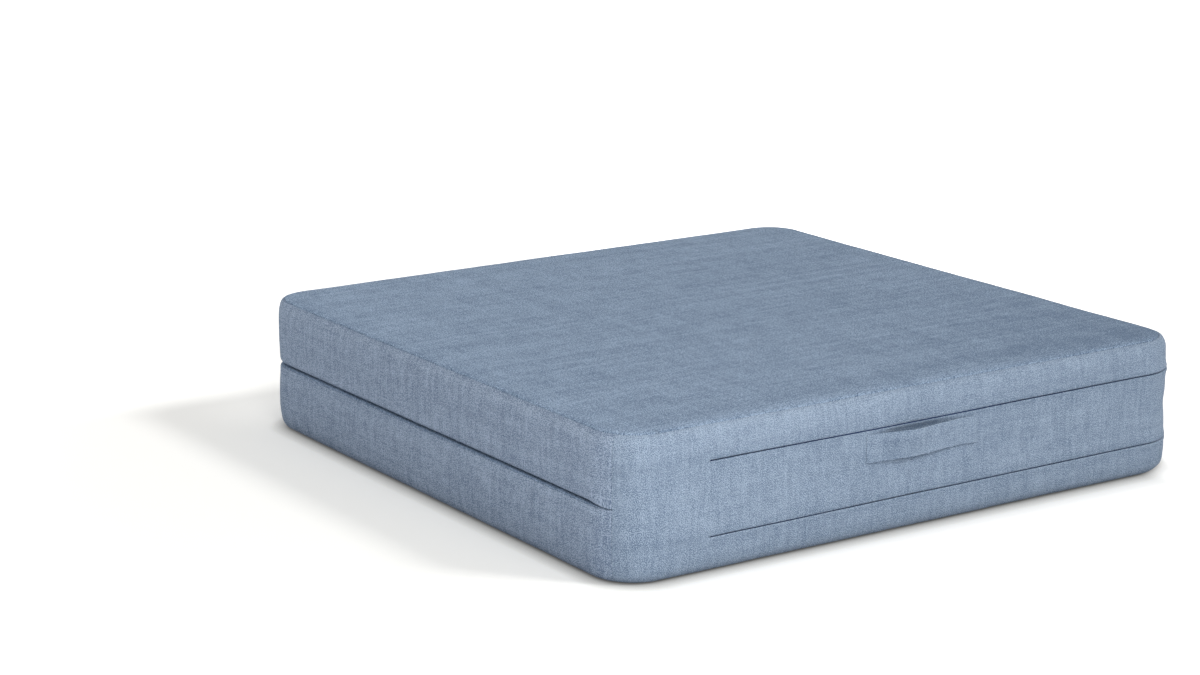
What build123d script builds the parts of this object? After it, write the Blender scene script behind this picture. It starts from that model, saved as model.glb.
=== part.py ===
from build123d import *
from math import cos, radians, sin, sqrt
import os

# A guest futon: a foam mattress in a zipped cloth cover that folds in two, shown folded.
# X runs along the fold, Y from the fold's face (the spine) to the open side, Z up.
# The origin lies on the floor under the middle of the folded mattress.
# Each half is drawn as the lower one, outer face down, and the upper one is its mirror image.

# Driving dimensions, in millimetres
spine_length = 984.0
depth = 966.0
half_thick = 100.0
plan_radius = 69.0
outer_edge_radius = 18.6
inner_edge_radius = 8.0

# Layers of one half, from the outside in
cloth_thick = 1.5
liner_thick = 0.6
foam_inset = 9.5  # from the cover's face to the foam, which is square-edged
edge_cut_share = 0.68  # of an edge's inside radius, cut off where seam allowances fill it

# Seams of the cover
seam_turn = 45.0  # degrees round a rounded edge to the seam in its middle
spine_turn = 57.0  # degrees of each spine corner that the spine cloth wraps
fold_reach = 6.0  # of the cloth that bends, on each side of the fold

# Clearances
body_gap = 0.3  # between the soft solids of two bodies
slide_gap = 0.3  # round a zip slider
bore_gap = 0.05  # between a pull's eye and the bar in it
cut_past = 5.0  # overrun of cutting blocks

# Zip of one half: it starts on the spine and runs round the right corner along that side
zip_height = 49.0  # above the half's outer face
zip_start = 145.0  # from the left face to the zip's first end
zip_stop_short = 145.0  # from the back face to its other end
slit_half = 1.0
tape_thick = 0.7
tape_width = 14.0
row_half_gap = 0.7  # from the zip's middle to each row of coil
row_width = 1.9
row_thick = 1.8
stop_length = 3.0
hem_from = 6.5  # from the zip's middle to the cloth's turned hem
channel_half = 15.5

# Zip slider: a plate each side of the rows, a post between them, and a bridge outside
slider_length = 14.0
plate_thick = 1.0
flange_thick = 0.9
flange_gap = 0.5
post_length = 3.0
corner_cut = 1.2
bar_radius = 1.0
bar_standoff = 3.2
leg_length = 1.6
leg_pitch = 8.0

# Pull that hangs on the slider's bridge
eye_wall = 0.85
eye_length = 5.4
blade_thick = 1.2
neck_length = 5.0
blade_length = 24.0
blade_width = 8.0
blade_round = 2.4
hole_width = 3.2
hole_length = 9.0
hole_margin = 2.6

# Handle strap, a slack loop of cloth on the upper half's spine
strap_left = -93.0
strap_right = 100.0
strap_low = 2.5  # above the fold
strap_height = 39.0
strap_thick = 2.6
strap_lift = 8.6  # of its inside face at the crest
strap_crest_share = 0.4  # of the way from its left end
stitched_length = 18.0
thread_thick = 0.5
thread_width = 1.0
tack_margin = 3.0

# Places worked out from the sizes above
fold_face = half_thick - body_gap / 2
side_x = spine_length / 2
spine_y = -depth / 2
corner_x = side_x - plan_radius
corner_y = spine_y + plan_radius
outer_seam = outer_edge_radius * (1 - cos(radians(seam_turn)))
inner_seam = fold_face - inner_edge_radius * (1 - cos(radians(seam_turn)))
fold_low = half_thick - fold_reach
zip_first_x = zip_start - side_x
zip_last_y = depth / 2 - zip_stop_short
tape_inset = 2 * cloth_thick
row_inset = tape_inset + tape_thick
back_plate_inset = row_inset + row_thick + slide_gap
channel_depth = back_plate_inset + plate_thick + slide_gap
row_outer = row_half_gap + row_width
slider_half = row_outer + flange_gap + flange_thick
slider_y = zip_last_y - stop_length - slide_gap - slider_length / 2


def plan(inset):
    """Rounded outline seen from above, drawn in from the cover's face."""
    return RectangleRounded(spine_length - 2 * inset, depth - 2 * inset, plan_radius - inset)


def band(inset, thick, low, high):
    """Upright band that follows the outline, between two heights."""
    wall = plan(inset) - plan(inset + thick)
    return Pos(0, 0, low) * extrude(wall, high - low)


def edge_cut(inset, radius):
    """Width cut off a layer's edge, so that the layers lie parallel across it."""
    return edge_cut_share * (radius - cloth_thick) - (inset - cloth_thick) * (2 - sqrt(2))


def slab(inset, fold_edge_too):
    """Half mattress drawn in from its cover, whose own edges are round and those inside cut."""
    body = Pos(0, 0, inset) * extrude(plan(inset), fold_face - 2 * inset)
    radii = {0: outer_edge_radius}
    if fold_edge_too:
        radii[-1] = inner_edge_radius
    for place, radius in radii.items():
        edge = body.edges().group_by(Axis.Z)[place]
        body = chamfer(edge, edge_cut(inset, radius)) if inset else fillet(edge, radius)
    return body


def make_spine_block():
    """Upright block over the stretch of the outline that the spine cloth covers."""
    reach = 2 * plan_radius
    out_x = corner_x + reach * sin(radians(spine_turn))
    out_y = corner_y - reach * cos(radians(spine_turn))
    front_y = spine_y - plan_radius
    right = [(out_x, front_y), (out_x, out_y), (corner_x, corner_y)]
    left = [(-x, y) for x, y in reversed(right)]
    return extrude(make_face(Polyline(*left, *right, close=True)), 2 * half_thick)


spine_block = make_spine_block()


def skin(inset):
    """Half mattress drawn in from its cover, its fold edge kept square along the spine alone."""
    return (slab(inset, True) - spine_block) + (slab(inset, False) & spine_block)


def zip_run(inset, thick, low, high, ease=0.0):
    """Part of a band that lies along the zip, made longer by ease at both ends."""
    first = zip_first_x - ease
    last = zip_last_y + ease
    long_x = side_x + cut_past - first
    long_y = last - spine_y + cut_past
    block = Box(long_x, long_y, high - low, align=(Align.MIN, Align.MIN, Align.MIN))
    return band(inset, thick, low, high) & (Pos(first, spine_y - cut_past, low) * block)


def level(low, high):
    """Block wider than the mattress, between two heights."""
    wide = spine_length + 2 * cut_past
    deep = depth + 2 * cut_past
    return Pos(0, 0, (low + high) / 2) * Box(wide, deep, high - low)


def make_cover():
    """Four sewn panels of one half's cover, the borders with the zip's slit and turned hems."""
    cloth = skin(0.0) - skin(cloth_thick)
    bending = band(0.0, cloth_thick, fold_low, half_thick) & spine_block
    outer_panel = cloth & level(-cut_past, outer_seam)
    inner_panel = (cloth & level(inner_seam, half_thick)) - bending
    side_border = (cloth & level(outer_seam, inner_seam)) - spine_block
    spine_border = cloth & level(outer_seam, fold_low) & spine_block
    slit = zip_run(-cut_past, 2 * cut_past, zip_height - slit_half, zip_height + slit_half)
    far = tape_width
    hems = zip_run(cloth_thick, cloth_thick, zip_height + hem_from, zip_height + far)
    hems += zip_run(cloth_thick, cloth_thick, zip_height - far, zip_height - hem_from)
    return {
        "outer_panel": outer_panel,
        "inner_panel": inner_panel,
        "side_border": side_border - slit + (hems - spine_block),
        "spine_border": spine_border - slit + (hems & spine_block),
    }


def make_filling():
    """Foam block, the wadding round it and the liner that keeps both when the cover is off."""
    low, high = zip_height - channel_half, zip_height + channel_half
    channel = zip_run(-cut_past, cut_past + channel_depth, low, high, cut_past)
    pressed = zip_run(
        -cut_past,
        cut_past + channel_depth + liner_thick,
        low - liner_thick,
        high + liner_thick,
        cut_past + liner_thick,
    )
    liner_out = skin(cloth_thick) - channel
    liner_in = skin(cloth_thick + liner_thick) - pressed
    foam = Pos(0, 0, foam_inset) * extrude(plan(foam_inset), fold_face - 2 * foam_inset)
    return {
        "liner": liner_out - liner_in,
        "wadding": liner_in - foam,
        "foam_core": foam,
    }


def end_blocks(length, height):
    """Blocks over the last stretch of the zip at each of its two ends."""
    deep = 2 * channel_depth
    first = Pos(zip_first_x, spine_y, zip_height) * Box(2 * length, 2 * deep, height)
    last = Pos(side_x, zip_last_y, zip_height) * Box(2 * deep, 2 * length, height)
    return first + last


def make_zip():
    """Two tapes behind the slit, a row of coil on each, and a metal stop at each end."""
    tall = 2 * tape_width
    ends = end_blocks(stop_length, tall)
    rows_low, rows_high = zip_height - row_outer, zip_height + row_outer
    above = (zip_height + row_half_gap, zip_height + tape_width)
    below = (zip_height - tape_width, zip_height - row_half_gap)
    return {
        "zip_tape_inner": zip_run(tape_inset, tape_thick, *above),
        "zip_tape_outer": zip_run(tape_inset, tape_thick, *below),
        "zip_row_inner": zip_run(row_inset, row_thick, above[0], rows_high) - ends,
        "zip_row_outer": zip_run(row_inset, row_thick, rows_low, below[1]) - ends,
        "zip_stops": zip_run(row_inset, row_thick, rows_low, rows_high) & ends,
    }


def side_block(mid_y, length, inset_out, inset_in, mid_z, height):
    """Block at the right-hand side face, placed by its insets from the cover."""
    mid_x = side_x - (inset_out + inset_in) / 2
    return Pos(mid_x, mid_y, mid_z) * Box(inset_in - inset_out, length, height)


def make_slider():
    """Slider behind the slit: front plate, flanged back plate, post, and the bridge outside."""
    front_inset = cloth_thick + slide_gap
    wide = 2 * slider_half
    front = side_block(
        slider_y, slider_length, front_inset, tape_inset - slide_gap, zip_height, wide
    )
    back_end = back_plate_inset + plate_thick
    back = side_block(slider_y, slider_length, back_plate_inset, back_end, zip_height, wide)
    front = chamfer(front.edges().filter_by(Axis.X), corner_cut)
    back = chamfer(back.edges().filter_by(Axis.X), corner_cut)
    flange_length = slider_length - 2 * corner_cut
    flange_mid = slider_half - flange_thick / 2
    flange_top = row_inset + slide_gap
    for side in (-1, 1):
        back += side_block(
            slider_y,
            flange_length,
            flange_top,
            back_end,
            zip_height + side * flange_mid,
            flange_thick,
        )
    post_y = slider_y - slider_length / 2 + corner_cut + post_length / 2
    post_wide = 2 * (row_half_gap - slide_gap)
    post = side_block(post_y, post_length, front_inset, back_end, zip_height, post_wide)
    slider = front + back + post
    leg_wide = 2 * (slit_half - slide_gap)
    for side in (-1, 1):
        leg_y = slider_y + side * leg_pitch / 2
        slider += side_block(
            leg_y, leg_length, -bar_standoff, front_inset, zip_height, leg_wide
        )
    return slider + bar(bar_radius, leg_pitch + leg_length)


def bar(radius, length):
    """Cylinder along Y on the axis of the slider's bridge."""
    upright = Cylinder(radius, length)
    return Pos(side_x + bar_standoff, slider_y, zip_height) * Rot(90, 0, 0) * upright


def make_pull():
    """Pull that hangs from the bridge: an eye round the bar, a neck and a pierced blade."""
    eye_radius = bar_radius + bore_gap + eye_wall
    neck_top = bar_radius + bore_gap
    long = neck_length - neck_top
    neck = Pos(0, -neck_top - long / 2) * Rectangle(eye_length, long)
    blade_mid = -neck_length - blade_length / 2 + blade_round
    blade = Pos(0, blade_mid) * RectangleRounded(blade_width, blade_length, blade_round)
    hole_mid = blade_mid - blade_length / 2 + hole_margin + hole_length / 2
    hole = Pos(0, hole_mid) * Rot(0, 0, 90) * SlotOverall(hole_length, hole_width)
    sheet = extrude(neck + blade - hole, blade_thick / 2, both=True)
    facing = Plane(
        origin=(side_x + bar_standoff, slider_y, zip_height), x_dir=(0, 1, 0), z_dir=(1, 0, 0)
    )
    return (facing * sheet) + bar(eye_radius, eye_length) - bar(bar_radius + bore_gap, blade_width)


def make_strap():
    """Cloth strap, flat where it is sewn and bowed away from the spine between its ends."""
    rise_start = strap_left + stitched_length
    fall_end = strap_right - stitched_length
    crest = strap_left + strap_crest_share * (strap_right - strap_left)
    rise_mid = ((rise_start + crest) / 2, -strap_lift / 2)
    fall_mid = ((crest + fall_end) / 2, -strap_lift / 2)
    start = Line((strap_left, 0), (rise_start, 0))
    rise = TangentArc((rise_start, 0), rise_mid, tangent=(1, 0))
    top = TangentArc(rise_mid, (crest, -strap_lift), tangent=rise % 1)
    over = TangentArc((crest, -strap_lift), fall_mid, tangent=(1, 0))
    fall = TangentArc(fall_mid, (fall_end, 0), tangent=over % 1)
    end = Line((fall_end, 0), (strap_right, 0))
    inside = Wire([start.edge(), rise.edge(), top.edge(), over.edge(), fall.edge(), end.edge()])
    outline = offset(inside, strap_thick, side=Side.RIGHT, closed=True)
    face = make_face(outline.edges())
    return Pos(0, spine_y, half_thick + strap_low) * extrude(face, strap_height, dir=(0, 0, 1))


def make_strap_tacks():
    """Stitched frame on each sewn end of the strap."""
    long = stitched_length - 2 * tack_margin
    tall = strap_height - 2 * tack_margin
    frame = Rectangle(long, tall) - Rectangle(long - 2 * thread_width, tall - 2 * thread_width)
    upright = Rot(90, 0, 0) * extrude(frame, thread_thick)
    mid_z = half_thick + strap_low + strap_height / 2
    ends = (strap_left + stitched_length / 2, strap_right - stitched_length / 2)
    return [Pos(x, spine_y - strap_thick, mid_z) * upright for x in ends]


def make_fold_strip():
    """Stretch of the spine's cloth that bends at the fold, between the two spine borders."""
    thick = cloth_thick - body_gap
    top = half_thick + fold_reach - body_gap
    return band(0.0, thick, fold_low, top) & spine_block


half = {**make_filling(), **make_cover(), **make_zip(), "zip_slider": make_slider()}
fold_plane = Plane.XY.offset(half_thick)
pull = make_pull()
pull_rise = 2 * (half_thick - zip_height)

pieces = {}
for name, solid in half.items():
    pieces["lower_" + name] = solid
    pieces["upper_" + name] = mirror(solid, about=fold_plane)
pieces["lower_zip_pull"] = pull
pieces["upper_zip_pull"] = Pos(0, 0, pull_rise) * pull
pieces["spine_fold"] = make_fold_strip()
pieces["handle_strap"] = make_strap()
pieces["strap_stitching"] = Compound(children=make_strap_tacks())

os.makedirs("parts", exist_ok=True)
for name, solid in pieces.items():
    export_step(solid, f"parts/{name}.step")
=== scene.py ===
from math import cos, pi, radians, sin

import bpy
import numpy as np
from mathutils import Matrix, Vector, noise


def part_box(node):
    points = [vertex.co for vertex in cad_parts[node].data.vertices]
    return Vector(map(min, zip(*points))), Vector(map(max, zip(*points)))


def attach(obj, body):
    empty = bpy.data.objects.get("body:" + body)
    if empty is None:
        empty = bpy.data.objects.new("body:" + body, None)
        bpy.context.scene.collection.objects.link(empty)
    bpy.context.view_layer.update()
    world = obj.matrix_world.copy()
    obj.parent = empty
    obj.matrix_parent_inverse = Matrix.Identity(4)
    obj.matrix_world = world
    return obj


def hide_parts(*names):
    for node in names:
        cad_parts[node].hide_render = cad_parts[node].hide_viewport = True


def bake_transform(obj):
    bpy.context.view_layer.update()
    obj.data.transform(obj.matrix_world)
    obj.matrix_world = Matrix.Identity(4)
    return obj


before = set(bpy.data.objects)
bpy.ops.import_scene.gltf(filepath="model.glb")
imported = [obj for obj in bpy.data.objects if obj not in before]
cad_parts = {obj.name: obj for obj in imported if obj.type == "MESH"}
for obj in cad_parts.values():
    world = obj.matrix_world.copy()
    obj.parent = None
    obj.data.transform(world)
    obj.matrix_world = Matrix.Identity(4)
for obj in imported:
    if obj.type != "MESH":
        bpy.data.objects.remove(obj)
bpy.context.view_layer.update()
HALVES = ("lower", "upper")


# Foam cores: one block in each half, cut square-edged from a slab with a band saw.
# They are flexible polyurethane cold foam, off-white, and lie loose in the wadding.
foam_pore = 0.0012
foam_plan_radius, foam_soft_edge = 0.0595, 0.0015


def linear(value):
    """Linear red, green, blue and alpha of an sRGB hex colour."""
    shares = [int(value[k:k + 2], 16) / 255 for k in (1, 3, 5)]
    return [c / 12.92 if c <= 0.04045 else ((c + 0.055) / 1.055) ** 2.4 for c in shares] + [1.0]


def begin(name, kept_in=bpy.data.materials):
    """Empty material with nodes, or a world where it is kept with the worlds."""
    material = kept_in.new(name)
    material.use_nodes = True
    material.node_tree.nodes.clear()
    return material


def add(material, kind, settings=None, links=None):
    """Adds a node, with its settings and the outputs that feed its inputs."""
    node = material.node_tree.nodes.new("ShaderNode" + kind)
    for key, value in (settings or {}).items():
        if isinstance(key, str) and hasattr(node, key):
            setattr(node, key, value)
        else:
            node.inputs[key].default_value = value
    for key, output in (links or {}).items():
        material.node_tree.links.new(output, node.inputs[key])
    return node


def surface(material, dark, light, pattern, settings, relief=None, links=None):
    """Ends a material: its colour runs from dark to light with a pattern, and its relief is a strength,
    a depth and the height that raises it."""
    colour = add(material, "Mix", {"data_type": "RGBA", 6: linear(dark), 7: linear(light)}, {0: pattern})
    links = {"Base Color": colour.outputs[2], **(links or {})}
    if relief:
        strength, depth, height = relief
        bump = add(material, "Bump", {"Strength": strength, "Distance": depth}, {"Height": height})
        links["Normal"] = bump.outputs[0]
    shader = add(material, "BsdfPrincipled", settings, links)
    add(material, "OutputMaterial", None, {"Surface": shader.outputs[0]})


def choose(piece, kind, test):
    """Goes into edit mode with those edges or faces chosen that pass a test."""
    bpy.context.tool_settings.mesh_select_mode = (False, kind == "edges", kind == "polygons")
    bpy.ops.object.mode_set(mode="EDIT")
    bpy.ops.mesh.select_all(action="DESELECT")
    bpy.ops.object.mode_set(mode="OBJECT")
    for part in getattr(piece.data, kind):
        part.select = bool(test(part))
    bpy.ops.object.mode_set(mode="EDIT")


def round_edges(piece, test, radius, segments):
    """Rounds the edges that pass a test."""
    choose(piece, "edges", test)
    bpy.ops.mesh.bevel(offset=radius, segments=segments, affect="EDGES")
    bpy.ops.object.mode_set(mode="OBJECT")


def start_box(name, middle, size):
    """Cube primitive at its size and place, with everything else deselected."""
    bpy.ops.object.select_all(action="DESELECT")
    bpy.ops.mesh.primitive_cube_add(size=1, location=middle)
    piece = bpy.context.object
    piece.name = piece.data.name = name
    piece.scale = size
    bpy.ops.object.transform_apply(location=True, rotation=True, scale=True)
    return piece


def is_upright(piece, edge):
    """Whether an edge stands along Z."""
    run = piece.data.vertices[edge.vertices[0]].co - piece.data.vertices[edge.vertices[1]].co
    return abs(run.z) > 0.99 * run.length


# Cold foam has open cells, which make its cut faces matt and finely pitted.
foam = begin("polyurethane_cold_foam")
place = add(foam, "TexCoord").outputs["Object"]
cells = add(foam, "TexVoronoi", {"Scale": 1 / foam_pore}, {"Vector": place}).outputs["Distance"]
blotch = add(foam, "TexNoise", {"Scale": 30.0, "Detail": 3.0}, {"Vector": place}).outputs["Fac"]
pitted = add(foam, "Math", {"operation": "MULTIPLY"}, {0: cells, 1: blotch}).outputs[0]
surface(
    foam, "#C9BF9F", "#E9E2CB", pitted, {"Roughness": 0.95, "IOR": 1.5, "Sheen Weight": 0.1},
    relief=(0.6, 0.0006, cells),
)

for half in HALVES:
    low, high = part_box(half + "_foam_core")
    core = start_box(half + "_foam_block", (low + high) / 2, high - low)
    round_edges(core, lambda edge: is_upright(core, edge), foam_plan_radius, 12)
    round_edges(core, lambda edge: not is_upright(core, edge), foam_soft_edge, 2)
    core.data.materials.append(foam)
    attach(core, half + "_half")
    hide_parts(half + "_foam_core")


# Wadding: bonded polyester fibre wrapped all round each foam core, about 6 mm thick.
# It rounds the cover's edges and is pressed flat where the zip lies.
half_x, half_y, half_thick = 0.492, 0.483, 0.100
plan_radius, outer_edge = 0.069, 0.0186
fold_face = 0.09985          # height of a half's inner face above its outer one
run_x, run_y = half_x - plan_radius, half_y - plan_radius
turn = plan_radius * pi / 2
# straight runs and turns round the plan, from the spine's middle
ways = [run_x, turn, 2 * run_y, turn, 2 * run_x, turn, 2 * run_y, turn, run_x]
whole = sum(ways)
zip_height = 0.049
zip_first, zip_last = -0.347, run_x + turn + 0.338 + run_y
seam_way = run_x + plan_radius * radians(57.0)     # from the spine's middle to the spine cloth's upright seams
seam_angle = 27.0            # where the panels' seams lie on the rounded outer edge
gap_edge = {"lower": 0.0045, "upper": 0.010}
spine_gap_edge = 0.0008
gap_reach = 1.7              # an edge along the gap is this much deeper than high
gap_ease = 0.050             # over which the gap opens, from the upright seams
wadding_inset, wadding_thick = 0.0026, 0.0062
layer_step, merge_reach = 0.018, 0.00001
zip_bed_half, zip_bed_depth, zip_bed_ease = 0.0155, 0.0078, 0.003
zip_bed_beyond, zip_bed_end = 0.016, 0.004         # past the slit's ends, and how soon it fades there

# How far a half stands off its plain section, as the foam's weight and the seams shape it.
# Each pair is heights above its outer face, or angles round its outer edge, and then distances or shares.
spine_swell = {
    "lower": ([0.006, 0.016, 0.026, 0.036, 0.055, 0.070, 0.080], [0, 0.0003, 0.0010, 0.0013, 0.0009, 0.0005, 0]),
    "upper": ([0.01861, 0.0187, 0.024, 0.030, 0.0355, 0.042], [0, -0.0013, -0.0007, -0.0003, -0.0001, 0]),
}
side_swell = {
    "lower": (spine_swell["lower"][0], [-0.0008, -0.0008, 0.0001, 0.0010, 0.0011, 0.0006, 0]),
    "upper": ([0.01861, 0.0187, 0.030], [0, -0.0003, 0]),
}
drawn_by_gap = {
    "lower": ([0.078, 0.088, 0.096], [0, 0.0006, 0.0009]),
    "upper": ([0.062, 0.072, 0.086, 0.094], [0, 0.0003, 0.0008, 0.0011]),
}
drawn_by_fold = [0.085, 0.0985], [0, 0.0006]
pocket_left, pocket_right, pocket_depth = -0.085, 0.105, 0.0025      # the hollow above the strap
pocket_share = [0.0498, 0.0530, 0.0565, 0.0590, 0.065, 0.075], [0, 0.3, 0.85, 1, 0.8, 0]
front_right, right_reach, right_full = run_x + turn * 2 / 3, 0.030, 0.0018
right_levels = [0.01861, 0.0187, 0.034, 0.045, 0.060, 0.080, 0.095]
right_share = {"lower": [0, 2.1, 2.1, 1, 1.25, 1.25, 0.4], "upper": [0, 0.8, 0.8, 1, 1.25, 1.25, 0.4]}
back_left, left_reach, left_full = 3 * run_x + 2 * turn + 2 * run_y + turn * 2 / 3, 0.050, 0.0034
lower_edge = [0, 15, 30, 38, 45, 60, 75, 90], [0, 0, 0.0004, 0.0005, 0.0002, -0.0002, -0.0004, -0.0003]
lower_edge_full, lower_edge_share = 0.0046, ([30, 60, 90], [0, 1, 0.95])
upper_angles = [0, 8, 15, 22, 30, 38, 45, 52, 60, 75, 90]
upper_spine_edge = [0, -0.0002, -0.0004, -0.0005, -0.0007, -0.0009, -0.0010, -0.0011, -0.0013, -0.0015, -0.0013]
upper_side_edge = [0.0006, 0.0007, 0.0006, 0.0002, -0.0001, -0.0004, -0.0007, -0.0009, -0.0009, -0.0006, -0.0003]
upper_left_share = [0, 12, 25, 38, 52, 62, 75, 90], [0, 0.45, 1, 1, 0.65, 0.3, 0, -0.05]
upper_right_share = [0, 15, 30, 45, 60, 90], [-0.6, -0.2, 0.9, 1.3, 1.1, 0.9]


def smooth(share):
    """Smooth step of a share from 0 to 1."""
    share = np.clip(share, 0.0, 1.0)
    return share * share * (3 - 2 * share)


def outline(way):
    """Points and outward normals of the plan, by the way round it from the spine's middle."""
    way = np.mod(way, whole)
    points, normals = np.zeros((len(way), 2)), np.zeros((len(way), 2))
    begun, angle, at = 0.0, -pi / 2, np.array([0.0, -half_y])
    for k, length in enumerate(ways):
        here = (way >= begun) & (way <= begun + length)
        gone = way[here] - begun
        facing, along = np.array([cos(angle), sin(angle)]), np.array([-sin(angle), cos(angle)])
        if k % 2 == 0:
            points[here] = at + gone[:, None] * along
            normals[here] = facing
            at = at + length * along
        else:
            centre = at - plan_radius * facing
            angles = angle + gone / plan_radius
            normals[here] = np.stack([np.cos(angles), np.sin(angles)], 1)
            points[here] = centre + plan_radius * normals[here]
            angle += pi / 2
            at = centre + plan_radius * np.array([cos(angle), sin(angle)])
        begun += length
    return points, normals


def on_plan(way, depth_in):
    """Places on the floor along the plan, drawn inward by a depth."""
    points, normals = outline(way)
    made = np.zeros((len(way), 3))
    made[:, :2] = points - normals * np.reshape(depth_in + 0 * way, (-1, 1))
    return made


def standing(half, height):
    """Height above the floor of a height above a half's outer face, which the upper half has on top."""
    return height if half == "lower" else 2 * half_thick - height


def section(part, value, gap):
    """Depth inward, height above the outer face, and their outward normal, on a half's section."""
    turned = radians(value)
    if part == "face":
        return value, 0.0, 0.0, -1.0
    if part == "edge":
        return outer_edge * (1 - sin(turned)), outer_edge * (1 - cos(turned)), sin(turned), -cos(turned)
    if part == "side":
        return 0.0, value, 1.0, 0.0
    if part == "gap":
        return gap_reach * gap * (1 - cos(turned)), fold_face - gap * (1 - sin(turned)), cos(turned), sin(turned)
    return value, fold_face, 0.0, 1.0


def rows_on(part, values, tucks=None):
    """Rows on one part of the section, each with how far it is tucked in."""
    return [(part, value, tuck) for value, tuck in zip(values, tucks or [0] * len(values))]


def places_on(half, way, rows, lift, gap=None):
    """Places of a half's rows and columns. lift gives how far a row's cloth is raised off the section,
    shifted outward and moved up, from its number, way, depth, height and outward normal."""
    gap = gap_edge[half] if gap is None else gap
    made = np.zeros((len(rows), len(way), 3))
    for k, (part, value, tuck) in enumerate(rows):
        depth_in, height, outward, upward = section(part, value, gap)
        depth_in, height = depth_in + 0 * way, height + 0 * way
        raised, shifted, climbed = lift(k, way, depth_in, height, outward)
        made[k] = on_plan(way, depth_in - (raised - tuck) * outward - shifted * outward)
        made[k, :, 2] = standing(half, height + (raised - tuck) * upward + climbed)
    return made if half == "lower" else made[::-1]


def on_whole(operator, **settings):
    """Runs an operator of edit mode on all of the active mesh."""
    bpy.ops.object.mode_set(mode="EDIT")
    bpy.ops.mesh.select_all(action="SELECT")
    operator(**settings)
    bpy.ops.object.mode_set(mode="OBJECT")


def cloth(name, places, flat=None, thick=0.0, missing=None):
    """Grid primitive whose vertices go to their places, its pattern laid flat in metres on its UV map,
    then merged, smoothed and given its thickness inward. Faces that are missing are cut out."""
    flat = places[..., :2] if flat is None else flat
    rows, columns = places.shape[:2]
    bpy.ops.object.select_all(action="DESELECT")
    bpy.ops.mesh.primitive_grid_add(x_subdivisions=columns - 1, y_subdivisions=rows - 1, size=2)
    piece = bpy.context.object
    piece.name = piece.data.name = name
    mesh = piece.data
    used = np.zeros(len(mesh.loops), int)
    mesh.loops.foreach_get("vertex_index", used)
    mesh.uv_layers[0].data.foreach_set("uv", flat.reshape(-1, 2)[used].ravel())
    if missing is not None:
        lowest = [min(face.vertices) for face in mesh.polygons]
        choose(piece, "polygons", lambda face: missing[divmod(lowest[face.index], columns)])
        bpy.ops.mesh.delete(type="FACE")
        bpy.ops.object.mode_set(mode="OBJECT")
    mesh.vertices.foreach_set("co", places.reshape(-1))
    mesh.update()
    on_whole(bpy.ops.mesh.remove_doubles, threshold=merge_reach)
    if thick:
        thicken(piece, thick)
    bpy.ops.object.shade_smooth()
    return piece


def thicken(piece, thick, group="", offset=-1.0):
    """Gives cloth its thickness, inward from its outer face or outward from its inner one."""
    wall = piece.modifiers.new("thickness", "SOLIDIFY")
    wall.thickness, wall.offset = thick, offset
    if group:
        wall.vertex_group, wall.thickness_vertex_group = group, 0.1
    bpy.ops.object.modifier_apply(modifier=wall.name)


def join(name, pieces):
    """Joins pieces into the first one and merges their touching edges."""
    bpy.ops.object.select_all(action="DESELECT")
    for piece in pieces:
        piece.select_set(True)
    bpy.context.view_layer.objects.active = pieces[0]
    bpy.ops.object.join()
    pieces[0].name = pieces[0].data.name = name
    on_whole(bpy.ops.mesh.remove_doubles, threshold=merge_reach)
    return pieces[0]


def columns_round(step):
    """Columns all round the plan, with the counts of the straight runs along X and Y."""
    count_x, count_turn, count_y = (round(length / step) for length in (2 * run_x, turn, 2 * run_y))
    way, at = [], -run_x
    for length, count in [(2 * run_x, count_x), (turn, count_turn), (2 * run_y, count_y), (turn, count_turn)] * 2:
        way.append(at + length * np.arange(count) / count)
        at += length
    return np.append(np.concatenate(way), at), count_x, count_y


def middle_grid(height_at, count_x, count_y):
    """Places of the flat middle of a face, inside its rings."""
    x, y = np.meshgrid(np.linspace(-run_x, run_x, count_x + 1), np.linspace(-run_y, run_y, count_y + 1))
    return np.stack([x, y, height_at(x, y)], -1)


def in_zip(way, ease, beyond=0.0):
    """1 along the zip, falling to 0 over the ease at both its ends, which may lie beyond the slit's."""
    return smooth((way - zip_first + beyond) / ease) * smooth((zip_last - way + beyond) / ease)


def from_middle(way):
    """Distance along the plan from the spine's middle, either way round."""
    return np.abs(np.mod(way + whole / 2, whole) - whole / 2)


def opening(way):
    """0 where the spine's cloth holds the halves together, 1 where the gap between them is fully open."""
    return smooth((from_middle(way) - seam_way) / gap_ease)


def on_sides(way):
    """0 along the spine, 1 round the other sides."""
    return smooth((from_middle(way) - run_x) / turn)


def gap_round(half, way):
    """Radius of the edge along the gap, which is small along the spine."""
    return spine_gap_edge + (gap_edge[half] - spine_gap_edge) * opening(way)


def strained(way, middle, reach):
    """1 at a place round the plan where the cover is strained over the foam, fading to 0 on both sides."""
    return np.exp(-((np.mod(way, whole) - middle) / reach) ** 2)


def stand_out(half, way, height):
    """How far a side swells or draws in at a height above the half's outer face."""
    sides, opened = on_sides(way), opening(way)
    swell = np.interp(height, *spine_swell[half]) * (1 - sides) + np.interp(height, *side_swell[half]) * sides
    if half == "upper":
        pocket = smooth((way - pocket_left) / 0.05) * smooth((pocket_right - way) / 0.10) * (np.abs(way) < run_x)
        swell = swell - pocket_depth * pocket * np.interp(height, *pocket_share)
    full = right_full * strained(way, front_right, right_reach) * np.interp(height, right_levels, right_share[half])
    drawn, waist = np.interp(height, *drawn_by_gap[half]), np.interp(height, *drawn_by_fold)
    return swell + full - drawn * opened - waist * (1 - opened)


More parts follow.
